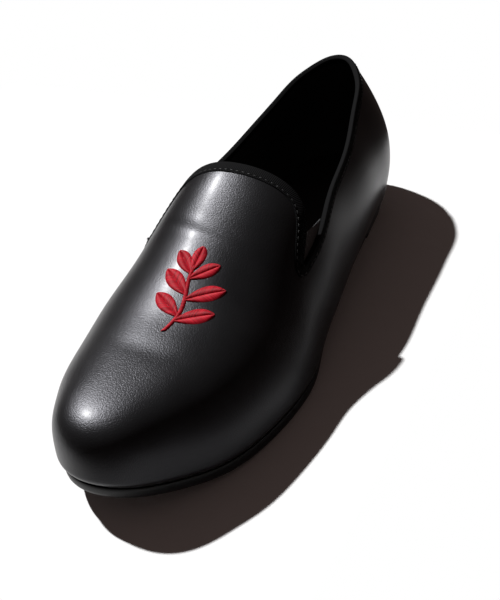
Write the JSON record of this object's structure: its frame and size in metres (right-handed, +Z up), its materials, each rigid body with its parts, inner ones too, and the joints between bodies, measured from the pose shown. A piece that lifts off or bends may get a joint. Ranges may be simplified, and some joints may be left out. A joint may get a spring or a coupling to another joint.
{
  "type": "opera shoe",
  "caption": "Low slip-on dress shoe for the left foot: smooth black upper with a round tab vamp, elastic gores in the side notches, thin sole and low heel.",
  "frame": {"origin": "under the middle of the shoe, on the floor that the sole stands on", "axes": "+Z up, -Y towards the toe, +Y towards the heel, +X towards the outer side of the left foot"},
  "size_m": [0.1057, 0.2839, 0.084],
  "materials": {
    "black_leather": "smooth black leather with fine grain and a satin gloss",
    "black_sole": "thin black sole with a satin edge",
    "black_heel": "matt black heel",
    "black_sock": "matt black sock lining",
    "black_elastic": "ribbed black elastic",
    "black_tape": "ribbed black binding tape",
    "red_thread": "red embroidery thread with a silky sheen"
  },
  "bodies": {
    "root": {"upper": "black_leather", "outsole": "black_sole", "heel": "black_heel", "insole": "black_sock", "gore_outer": "black_elastic", "gore_inner": "black_elastic"}
  },
  "joints": []
}
